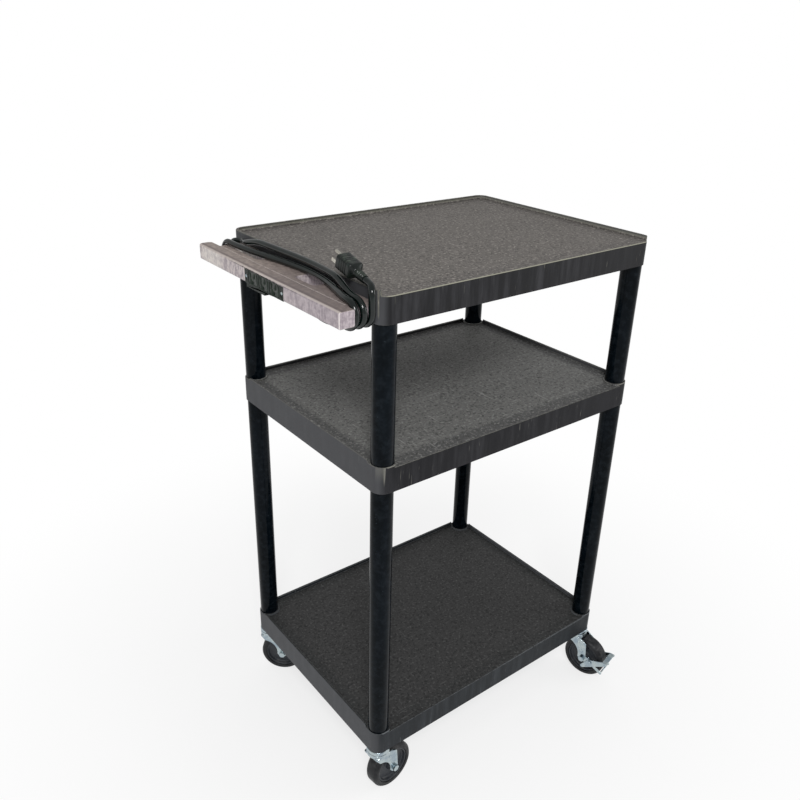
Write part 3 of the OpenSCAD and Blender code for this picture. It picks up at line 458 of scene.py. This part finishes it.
def tray_plastic(name, speckle, deck, border, wall, streak, wear_and_highlight):
    """The tray's finish: deck and border colours where it faces up, streaked wall colour elsewhere, the
    streaks thickest at the handle end. Walls facing that end get painted light, and the front top edge a
    painted highlight in the worn edges' colour. speckle is how many times brighter than the deck its pale
    flecks are."""
    made, tree, shader, where = finish_of(name, Specular_IOR_Level=0.3)
    x, y, _ = parts(tree, where)
    end_way, _, upward = parts(tree, wire(tree, "NewGeometry", out="Normal"))
    from_mid = calc(tree, "SUBTRACT", x, shelf_mid)
    facing = step(tree, upward, 0.55, 0.9)
    # Painted highlight: the rounded front top edge, tilted up towards the light, is painted pale in the worn
    # edges' colour.
    front_edge_highlight = calc(tree, "MULTIPLY", step(tree, upward, 0.12, 0.35), step(tree, upward, 0.97, 0.85))
    front_edge_highlight = calc(tree, "MULTIPLY", front_edge_highlight, step(tree, y, -0.224, -0.228, 0.3, 0.95))
    inset = calc(tree, "MINIMUM", calc(tree, "SUBTRACT", half_long, calc(tree, "ABSOLUTE", from_mid)),
                 calc(tree, "SUBTRACT", half_deep, calc(tree, "ABSOLUTE", y)))
    wander = calc(tree, "MULTIPLY", blotches(tree, where, 9.0, 3.0), 0.006)
    inner = step(tree, calc(tree, "ADD", inset, wander), 0.026, 0.036)
    patches = blotches(tree, where, 5.0, 6.0, 0.6)
    rubbed = blotches(tree, where, 26.0, 6.0, 0.7, (1.0, 1.6, 1.0))
    pits, flecks = blotches(tree, where, 225.0, 3.0, 0.6), blotches(tree, where, 190.0, 3.0, 0.65)
    scratch = step(tree, blotches(tree, where, 30.0, 2.0, 0.5, (0.6, 9.0, 1.0)), 0.66, 0.73)
    swirl = step(tree, blotches(tree, where, 24.0, 2.0, 0.5, (8.0, 0.7, 1.0)), 0.67, 0.74)
    marks = calc(tree, "MULTIPLY", calc(tree, "MAXIMUM", scratch, swirl), step(tree, patches, 0.46, 0.6))
    top = tint(tree, inner, border, deck)
    for share, times in ((step(tree, patches, 0.3, 0.7, 0.0, 0.32), 0.72),
                         (step(tree, rubbed, 0.5, 0.8, 0.0, 0.35), 1.35),
                         (step(tree, pits, 0.5, 0.64, 0.0, 0.8), 0.3),
                         (step(tree, flecks, 0.53, 0.66, 0.0, 0.7), speckle),
                         (calc(tree, "MULTIPLY", marks, 0.55), 2.4)):
        top = tint(tree, share, top, tuple(times * v for v in deck[:3]) + (1.0,))
    scuffed = step(tree, from_mid, -0.05, 0.3, 0.8, 0.2)
    streaked = calc(tree, "MULTIPLY", use(tree, wall_streaks, "Mask", Where=where, Scale=60.0), scuffed)
    scratched = calc(tree, "MULTIPLY", use(tree, wall_streaks, "Scratch", Where=where, Scale=60.0), 0.5)
    # Painted light: walls facing the handle end are painted paler, as if lit from that side.
    painted_end_light = step(tree, end_way, -0.2, -0.9, 0.0, 0.6)
    side = laid(tree, wall, (streaked, streak), (scratched, wear_and_highlight), (painted_end_light, colour(88, 89, 92)))
    edges = use(tree, edge_wear, "Mask", Where=where, Width=0.0026, Scale=60.0)
    pale = calc(tree, "MAXIMUM", calc(tree, "MULTIPLY", edges, 0.75), front_edge_highlight)
    grain = calc(tree, "MULTIPLY", use(tree, pebble_grain, "Height", Where=where, Scale=650.0),
                 step(tree, inner, 0.0, 1.0, 0.55, 1.0))
    uneven = calc(tree, "MULTIPLY", blotches(tree, where, 40.0, 4.0), 0.16)
    # The deck colours are lighter than the wall colours partly for dust and scuffs, partly as painted light
    # from above.
    feed(tree, shader, Base_Color=tint(tree, pale, tint(tree, facing, side, top), wear_and_highlight),
         Specular_IOR_Level=step(tree, facing, 0.0, 1.0, 0.12, 0.3),
         Roughness=calc(tree, "ADD", step(tree, facing, 0.0, 1.0, 0.42, 0.56), uneven),
         Normal=relief(tree, grain, 0.00035, 0.55))
    return made


def shelf_edges(deck_z):
    """Share of the bevel at each edge of a tray: full on the lips, walls and deck, a quarter on the ribs,
    sockets and bolt holes, none underneath or where the lips slope down to the open front edge."""
    def pick(mids, ways):
        x, y, z = np.abs(mids[:, 0] - shelf_mid), mids[:, 1], mids[:, 2]
        outer = (x > half_long - 0.0005) | (np.abs(y) > half_deep - 0.0005) | (z > deck_z - 0.001)
        from_leg = np.hypot(x - leg_x, np.abs(y) - leg_y)
        bolts = (deck_z > 1) & (np.abs(z - hub_z) < 0.004)
        lip_end = (y < -0.2145) & (y > -0.2275) & (z > deck_z + 0.0005)
        below = (z < deck_z - 0.0165) & ((np.abs(ways[:, 2]) < 0.001) | ~outer)
        return np.where(lip_end | below, 0.0, np.where(outer & (from_leg > 0.0205) & ~bolts, 1.0, 0.25))
    return pick


# Colours per tray: deck, border, wall, streak, worn edge (also the front edge's painted highlight). Their
# brightness differs partly as painted light and shade; the bottom tray's darker colours are painted shade.
for node, deck_z, speckle, *shades in (
        ("top_shelf", 1.010, 2.4,
         (105, 101, 97), (98, 94, 91), (31, 31, 33), (59, 59, 62), (150, 149, 134)),
        ("middle_shelf", 0.727, 1.8,
         (112, 112, 110), (82, 82, 82), (26, 26, 29), (50, 50, 53), (126, 125, 118)),
        ("bottom_shelf", 0.158, 2.4,
         (56, 56, 56), (50, 51, 51), (32, 35, 38), (54, 58, 62), (104, 108, 112))):
    plastic = tray_plastic(slot_of[node], speckle, *(colour(*shade) for shade in shades))
    dress(softened(node, 0.0018, 3, shelf_edges(deck_z)), plastic, node)

# Legs. Steel tubes, 38 mm across with a 2.2 mm wall, in glossy black enamel. Each corner has a lower one from
# the bottom shelf's socket and an upper one from the middle shelf's to the top shelf's.
enamel, tree, shader, where = finish_of("leg_enamel", Specular_IOR_Level=0.07)
smear = blotches(tree, where, 28.0, 5.0, 0.6, (1.0, 1.0, 0.25))
dusty = use(tree, dust_film, "Mask", Where=where, Scale=90.0, Amount=0.5)
nicks = step(tree, blotches(tree, where, 230.0, 2.0, 0.5), 0.71, 0.76, 0.0, 0.35)
base = tint(tree, step(tree, smear, 0.35, 0.7), colour(2, 6, 10), colour(7, 14, 20))
feed(tree, shader, Base_Color=tint(tree, calc(tree, "MAXIMUM", dusty, nicks), base, colour(60, 68, 76)),
     Roughness=step(tree, smear, 0.3, 0.75, 0.08, 0.2),
     Normal=relief(tree, blotches(tree, where, 160.0, 2.0), 0.00012, 0.2))


def turned(name, profile, place, sides=96):
    """A shape from a lathe: the closed profile of (radius, height) points goes round the Z axis, and the
    matrix puts it in place. x = r * cos, y = r * sin, z = height."""
    a = np.arange(sides) / sides * 2 * np.pi
    ring = np.asarray(profile, float)
    r, z = np.r_[ring[:, 0], ring[:1, 0]], np.r_[ring[:, 1], ring[:1, 1]]
    heights = np.broadcast_to(z[:, None], (len(z), sides))
    points = np.stack([r[:, None] * np.cos(a), r[:, None] * np.sin(a), heights], -1)
    made = shell(name, points @ place[:3, :3].T + place[:3, 3], caps=False)
    form = bmesh.new()
    form.from_mesh(made.data)
    bmesh.ops.remove_doubles(form, verts=form.verts, dist=1e-6)
    bmesh.ops.recalc_face_normals(form, faces=form.faces)
    form.to_mesh(made.data)
    form.free()
    made.data.shade_smooth()
    made.data.set_sharp_from_angle(angle=np.radians(40))
    return made


def rounded(corners, radius, steps=5):
    """A closed profile with its corners rounded: each corner becomes an arc of steps points, drawn as a curve
    from radius before it to radius after it."""
    ring = np.asarray(corners, float)
    back, on = np.roll(ring, 1, 0) - ring, np.roll(ring, -1, 0) - ring
    lb, lo = np.linalg.norm(back, axis=1), np.linalg.norm(on, axis=1)
    r = np.minimum(np.broadcast_to(radius, len(ring)), 0.49 * np.minimum(lb, lo))[:, None]
    t = np.linspace(0, 1, steps)[None, :, None]
    a, b = (ring + back / lb[:, None] * r)[:, None], (ring + on / lo[:, None] * r)[:, None]
    return ((1 - t) ** 2 * a + 2 * t * (1 - t) * ring[:, None] + t ** 2 * b).reshape(-1, 2)


corner_names = ("front_left", "front_right", "back_left", "back_right")
tube_wall = 0.0022
for part in ("upper", "lower"):
    for corner in corner_names:
        node = f"{part}_leg_{corner}"
        low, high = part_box(node)
        mid = (low + high) / 2
        tube_r = (high.x - low.x) / 2
        profile = rounded([(tube_r - tube_wall, low.z), (tube_r, low.z), (tube_r, high.z),
                           (tube_r - tube_wall, high.z)], 0.0004)
        leg = turned(node + "_tube", profile, np.array(Matrix.Translation((mid.x, mid.y, 0))))
        dress(leg, enamel, node)

# Push handle. One moulding of taupe plastic bolted to the top shelf's end: a grip bar and, between it and the
# shelf, a hub for the cord with two slots for hands. Its faces are chalky with rubbed patches. Its side is
# painted lighter towards the far end, as painted light, and painted highlights lie on the near corner and
# along the outer top edge, with a painted shade line just inside the latter.
handle_plastic, tree, shader, where = finish_of("handle_plastic", Specular_IOR_Level=0.35)
bar_face = shelf_mid - 0.374
x, y, _ = parts(tree, where)
end_way, side_way, upward = parts(tree, wire(tree, "NewGeometry", out="Normal"))
facing = step(tree, upward, 0.3, 0.8)
# Painted highlight: the rounded corner at the bar's near end, facing the light, is painted near white.
near_corner_highlight = step(tree, calc(tree, "MULTIPLY", end_way, side_way), 0.22, 0.4)
mottle = blotches(tree, where, 130.0, 6.0, 0.62)
chalk = step(tree, blotches(tree, where, 240.0, 6.0, 0.75), 0.5, 0.68)
patch = step(tree, blotches(tree, where, 16.0, 3.0, 0.6, (1.0, 1.0, 0.5)), 0.52, 0.66, 0.25, 0.85)
from_patch = calc(tree, "ABSOLUTE", calc(tree, "SUBTRACT", y, 0.172))
far_patch = step(tree, calc(tree, "ADD", from_patch, calc(tree, "MULTIPLY", chalk, 0.01)), 0.048, 0.028)
outer = calc(tree, "SUBTRACT", x, bar_face)
near_corner_highlight = calc(tree, "MULTIPLY", near_corner_highlight, step(tree, outer, 0.03, 0.02, 0.0, 0.75))
chalked = calc(tree, "ADD", calc(tree, "MULTIPLY", chalk, 0.55), 0.35)
# Painted highlight and painted shade: a light line at the bar's outer top edge and a dark one just inside it,
# as a chamfer would catch light and shade.
edge_highlight_line = step(tree, outer, 0.0045, 0.003, 0.0, 0.6)
from_line = calc(tree, "ABSOLUTE", calc(tree, "SUBTRACT", outer, 0.0075))
edge_shade_line = step(tree, from_line, 0.003, 0.0015, 0.0, 0.55)
drawn = blotches(tree, where, 260.0, 5.0, 0.6, (1.0, 1.0, 0.2))
uneven = step(tree, calc(tree, "MULTIPLY", calc(tree, "ADD", mottle, drawn), 0.5), 0.4, 0.6)
# Painted light: the side is painted lighter towards the far end.
pale = tint(tree, step(tree, y, -0.2, 0.16), colour(186, 175, 180), colour(212, 202, 199))
side = laid(tree, tint(tree, uneven, colour(146, 135, 142), pale),
            (calc(tree, "MULTIPLY", patch, chalk), colour(218, 210, 206)),
            (calc(tree, "MULTIPLY", far_patch, chalked), colour(236, 231, 222)),
            (near_corner_highlight, colour(240, 234, 230)))
top = laid(tree, tint(tree, step(tree, mottle, 0.36, 0.64), colour(122, 111, 106), colour(160, 147, 140)),
           (calc(tree, "MULTIPLY", chalk, 0.25), colour(186, 174, 164)),
           (step(tree, y, 0.08, -0.1, 0.0, 0.55), colour(96, 86, 87)),
           (edge_shade_line, colour(96, 84, 86)),
           (edge_highlight_line, colour(206, 196, 190)))
edges = use(tree, edge_wear, "Mask", Where=where, Width=0.003, Scale=120.0)
grain = use(tree, pebble_grain, "Height", Where=where, Scale=520.0)
base = tint(tree, calc(tree, "MULTIPLY", edges, 0.7), tint(tree, facing, side, top), colour(214, 206, 198))
feed(tree, shader, Base_Color=base, Roughness=step(tree, mottle, 0.3, 0.7, 0.4, 0.6),
     Normal=relief(tree, grain, 0.0003, 0.4))


def handle_edges(mids, ways):
    """Share of the bevel at each of the handle's edges: little in the outlet's pocket and the bolt holes."""
    x, y, z = mids[:, 0] - shelf_mid, mids[:, 1], mids[:, 2]
    pocket = (x > -0.373) & (x < -0.339) & (np.abs(y + 0.011) < 0.0615)
    bolt_holes = (x > -0.3315) & (np.abs(z - hub_z) < 0.0045)
    return np.where(pocket | bolt_holes, 0.2, 1.0)


dress(softened("push_handle", 0.0014, 3, handle_edges), handle_plastic, "push_handle")

# Bolts, washers and screws, in bright bluish zinc plate that is clouded in places. The bolts go through the
# shelf's end wall into the handle's hub, from inside the shelf, and the screws hold the outlet's faceplate.
zinc, tree, shader, where = finish_of("zinc_plate", Metallic=1.0)
cloud = blotches(tree, where, 60.0, 5.0, 0.6)
fine = blotches(tree, where, 500.0, 4.0, 0.6)
dull = step(tree, blotches(tree, where, 130.0, 6.0, 0.7), 0.55, 0.75, 0.0, 0.35)
base = tint(tree, step(tree, cloud, 0.35, 0.65), colour(150, 165, 175), colour(186, 197, 198))
rough = calc(tree, "ADD", step(tree, cloud, 0.3, 0.7, 0.12, 0.26), calc(tree, "MULTIPLY", fine, 0.12))
feed(tree, shader, Base_Color=tint(tree, dull, base, colour(100, 110, 117)), Roughness=rough,
     Normal=relief(tree, fine, 0.00006, 0.6))
for node in ("handle_bolts", "handle_washers", "faceplate_screws"):
    dress(softened(node, 0.0004, 2), zinc, node)

# Outlets. A black moulded housing lies in the bar's pocket, with its junction chamber under the bar. Its
# faceplate holds three receptacles, each with two blade slots and a ground hole, and two screws.
outlet_black, tree, shader, where = finish_of("outlet_plastic", Specular_IOR_Level=0.2)
cloud = blotches(tree, where, 90.0, 5.0, 0.65)
dusty = use(tree, dust_film, "Mask", Where=where, Scale=120.0, Amount=0.4)
edges = use(tree, edge_wear, "Mask", Where=where, Width=0.0012, Scale=200.0)
base = laid(tree, tint(tree, step(tree, cloud, 0.35, 0.7), colour(8, 16, 12), colour(18, 28, 22)),
            (dusty, colour(56, 60, 54)), (calc(tree, "MULTIPLY", edges, 0.4), colour(96, 112, 100)))
feed(tree, shader, Base_Color=base, Roughness=step(tree, cloud, 0.3, 0.7, 0.34, 0.55),
     Normal=relief(tree, blotches(tree, where, 800.0, 3.0), 0.00012, 0.6))
receptacle_black, tree, shader, where = finish_of("receptacle_plastic", Specular_IOR_Level=0.25)
cloud = blotches(tree, where, 140.0, 5.0, 0.6)
edges = use(tree, edge_wear, "Mask", Where=where, Width=0.001, Scale=300.0)
base = tint(tree, step(tree, cloud, 0.35, 0.7), colour(12, 24, 17), colour(32, 46, 34))
feed(tree, shader, Base_Color=tint(tree, calc(tree, "MULTIPLY", edges, 0.6), base, colour(100, 118, 98)),
     Roughness=step(tree, cloud, 0.3, 0.7, 0.28, 0.5),
     Normal=relief(tree, blotches(tree, where, 900.0, 3.0), 0.0001, 0.5))
for node, material, width in (("outlet_housing", outlet_black, 0.001),
                              ("outlet_faceplate", outlet_black, 0.0),
                              ("outlet_receptacles", receptacle_black, 0.0)):
    dress(softened(node, width, 2), material, node)

brass, tree, shader, where = finish_of("contact_brass", Metallic=1.0)
cloud = blotches(tree, where, 200.0, 5.0, 0.6, (1.0, 0.3, 1.0))
feed(tree, shader, Base_Color=tint(tree, cloud, colour(176, 140, 72), colour(214, 184, 110)),
     Roughness=step(tree, cloud, 0.3, 0.7, 0.25, 0.5), Normal=relief(tree, cloud, 0.00005, 0.4))
dress(softened("outlet_contacts", 0.0003, 2), brass, "outlet_contacts")

# Caster sockets. Plugs of plain black plastic, pressed into the lower ends of the lower legs and bored for
# the caster stems.
insert_black, tree, shader, where = finish_of("insert_plastic", Specular_IOR_Level=0.35)
cloud = blotches(tree, where, 80.0, 5.0, 0.6)
feed(tree, shader, Base_Color=tint(tree, cloud, colour(20, 21, 23), colour(44, 45, 48)),
     Roughness=step(tree, cloud, 0.3, 0.7, 0.45, 0.65),
     Normal=relief(tree, blotches(tree, where, 600.0, 3.0), 0.0002, 0.5))
dress(softened("caster_inserts", 0.0006, 2), insert_black, "caster_inserts")

# Swivels. Each caster's fixed half is one zinc-plated piece: a stem up into the leg, a pressed race cup under
# the shelf and a kingpin with a riveted head. Eight steel balls run between it and the fork's own ring.
ball_steel, tree, shader, where = finish_of("ball_steel", Metallic=1.0)
cloud = blotches(tree, where, 900.0, 4.0, 0.6)
feed(tree, shader, Base_Color=tint(tree, cloud, colour(180, 182, 184), colour(214, 215, 216)),
     Roughness=step(tree, cloud, 0.3, 0.7, 0.1, 0.26), Normal=relief(tree, cloud, 0.00002, 0.3))
balls = frame["nodes"]["swivel_balls"]
balls.data.materials.clear()
balls.data.materials.append(ball_steel)
cup = rounded([(0, 0.0908), (0.0079, 0.0908), (0.008, 0.0938), (0.0055, 0.0941), (0.0055, 0.1058),
               (0.0116, 0.1063), (0.0122, 0.1084), (0.0158, 0.1084), (0.0164, 0.1063), (0.022, 0.1063),
               (0.022, 0.1138), (0.0055, 0.114), (0.0055, 0.1580), (0, 0.158)],
              [0, 0.001, 0.0004, 0.0003, 0, 0.0005, 0.001, 0.001, 0.0005, 0.0012, 0.0022, 0.0006, 0.0012, 0])

# Wheels. A dark moulded core with a dished web, and a hard black rubber tyre, 95 mm across, round it. Each
# wheel turns on a steel sleeve, round a bolt through the two plates of a pressed, zinc-plated fork.
core_grey, tree, shader, where = finish_of("wheel_core", Specular_IOR_Level=0.35)
cloud = blotches(tree, where, 45.0, 6.0, 0.65)
dusty = use(tree, dust_film, "Mask", Where=where, Scale=70.0, Amount=0.5)
base = tint(tree, cloud, colour(26, 28, 32), colour(58, 62, 68))
feed(tree, shader, Base_Color=tint(tree, dusty, base, colour(104, 104, 104)),
     Roughness=step(tree, cloud, 0.3, 0.7, 0.38, 0.58),
     Normal=relief(tree, blotches(tree, where, 700.0, 3.0), 0.00015, 0.6))
rubber, tree, shader, where = finish_of("tyre_rubber", Specular_IOR_Level=0.3)
cloud = blotches(tree, where, 70.0, 6.0, 0.68)
dusty = use(tree, dust_film, "Mask", Where=where, Scale=95.0, Amount=0.45)
base = tint(tree, cloud, colour(8, 9, 12), colour(24, 26, 30))
feed(tree, shader, Base_Color=tint(tree, dusty, base, colour(84, 84, 84)),
     Roughness=step(tree, cloud, 0.3, 0.7, 0.36, 0.6),
     Normal=relief(tree, blotches(tree, where, 800.0, 4.0), 0.0002, 0.7))


def mirrored(half):
    """A profile that is alike on both sides of height 0: the half below it, then the same one above."""
    return half + [(r, -z) for r, z in half[::-1]]


wheel_r = 0.0475
core = rounded(mirrored([(0.00601, -0.0148), (0.0112, -0.0148), (0.012, -0.006), (0.0145, -0.005),
                         (0.031, -0.005), (0.033, -0.0065), (0.0335, -0.0125), (0.0365, -0.0125)]), 0.0012)
tread = rounded(mirrored([(0.03655, -0.0132), (0.0375, -0.0145), (0.0408, -0.0145), (0.0414, -0.0139),
                          (0.0424, -0.0139), (0.0430, -0.0145), (0.0446, -0.0132), (0.0472, -0.0098),
                          (wheel_r, -0.0078)]), 0.001)
for corner in corner_names:
    low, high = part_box("caster_stem_" + corner)
    pin = (low + high) / 2
    tyre = frame["nodes"]["tyre_" + corner].data.vertices
    points = np.empty(3 * len(tyre), np.float32)
    tyre.foreach_get("co", points)
    middle = points.reshape(-1, 3).astype(float).mean(0)
    trail = np.arctan2(middle[1] - pin.y, middle[0] - pin.x)
    stem = np.array(Matrix.Translation((pin.x, pin.y, 0)))
    axle = np.array(Matrix.Translation((middle[0], middle[1], wheel_r)) @ Matrix.Rotation(trail, 4, "Z")
                    @ Matrix.Rotation(-np.pi / 2, 4, "X"))
    for node, profile, place, sides, material in (("caster_stem_" + corner, cup, stem, 72, zinc),
                                                  ("wheel_hub_" + corner, core, axle, 72, core_grey),
                                                  ("tyre_" + corner, tread, axle, 96, rubber)):
        dress(turned(node + "_form", profile, place, sides), material, node)
    for node, width in (("fork_" + corner, 0.0006), ("axle_bolt_" + corner, 0.0005),
                        ("axle_sleeve_" + corner, 0.0005)):
        dress(softened(node, width, 2), zinc, node)

# Brakes. On the two right-hand casters a lever pressed from zinc-plated sheet straddles the fork. It tips on
# two rivets, and its pedal stands out behind the wheel.
for corner in ("front_right", "back_right"):
    for node in ("brake_lever_" + corner, "brake_rivets_" + corner):
        dress(softened(node, 0.0005, 2), zinc, node)

# Studio. A pale seamless floor, one soft lamp above the front left and a broader, weaker one at the right, as
# in a plain product photograph. The floor fades into white only for the camera and in reflections, and the
# surround is white only for the camera, so neither lights the cart as brightly as it looks.
reach = 30
floor_mesh = bpy.data.meshes.new("floor")
floor_mesh.from_pydata([(-reach, -reach, 0), (reach, -reach, 0), (reach, reach, 0), (-reach, reach, 0)], [],
                       [(0, 1, 2, 3)])
floor = bpy.data.objects.new("floor", floor_mesh)
bpy.context.scene.collection.objects.link(floor)
made = bpy.data.materials.new("floor_paper")
made.use_nodes = True
tree = made.node_tree
tree.nodes.clear()
away = wire(tree, "VectorMath", {"operation": "LENGTH"}, out="Value", i0=wire(tree, "TexCoord", out="Object"))
paper = wire(tree, "BsdfDiffuse", Color=(0.93, 0.93, 0.93, 1))
white = wire(tree, "Emission", Color=(1, 1, 1, 1), Strength=1.0)
seen = tree.nodes.new("ShaderNodeLightPath")
shown = calc(tree, "MAXIMUM", seen.outputs["Is Camera Ray"],
             calc(tree, "MAXIMUM", seen.outputs["Is Glossy Ray"], seen.outputs["Is Transmission Ray"]))
fade = calc(tree, "MULTIPLY", step(tree, away, 0.35, 1.3, 0.72, 1.0), shown)
mixed = wire(tree, "MixShader", i0=fade, i1=paper, i2=white)
tree.links.new(mixed, tree.nodes.new("ShaderNodeOutputMaterial").inputs["Surface"])
floor_mesh.materials.append(made)

world = bpy.data.worlds.new("surround")
bpy.context.scene.world = world
world.use_nodes = True
tree = world.node_tree
tree.nodes.clear()
seen = tree.nodes.new("ShaderNodeLightPath")
glow = wire(tree, "Background", Color=(1, 1, 1, 1), Strength=0.55)
white = wire(tree, "Background", Color=(1, 1, 1, 1), Strength=1.0)
tree.links.new(wire(tree, "MixShader", i0=seen.outputs["Is Camera Ray"], i1=glow, i2=white),
               tree.nodes.new("ShaderNodeOutputWorld").inputs["Surface"])

aim = np.array([0, 0, 0.6])
for name, at, size, power in (("key", (-1.6, -2.2, 3.0), 0.9, 62), ("fill", (2.4, -1.8, 1.6), 1.4, 14)):
    lamp = bpy.data.lights.new(name, "AREA")
    lamp.shape, lamp.size, lamp.energy = "DISK", size, power
    made = bpy.data.objects.new(name, lamp)
    bpy.context.scene.collection.objects.link(made)
    way = aim - at
    made.matrix_world = (Matrix.Translation(at)
                         @ Matrix.Rotation(np.arctan2(way[1], way[0]) - np.pi / 2, 4, "Z")
                         @ Matrix.Rotation(np.pi / 2 - np.arctan2(-way[2], np.hypot(way[0], way[1])), 4, "X"))

bpy.context.scene.view_settings.view_transform = "Standard"
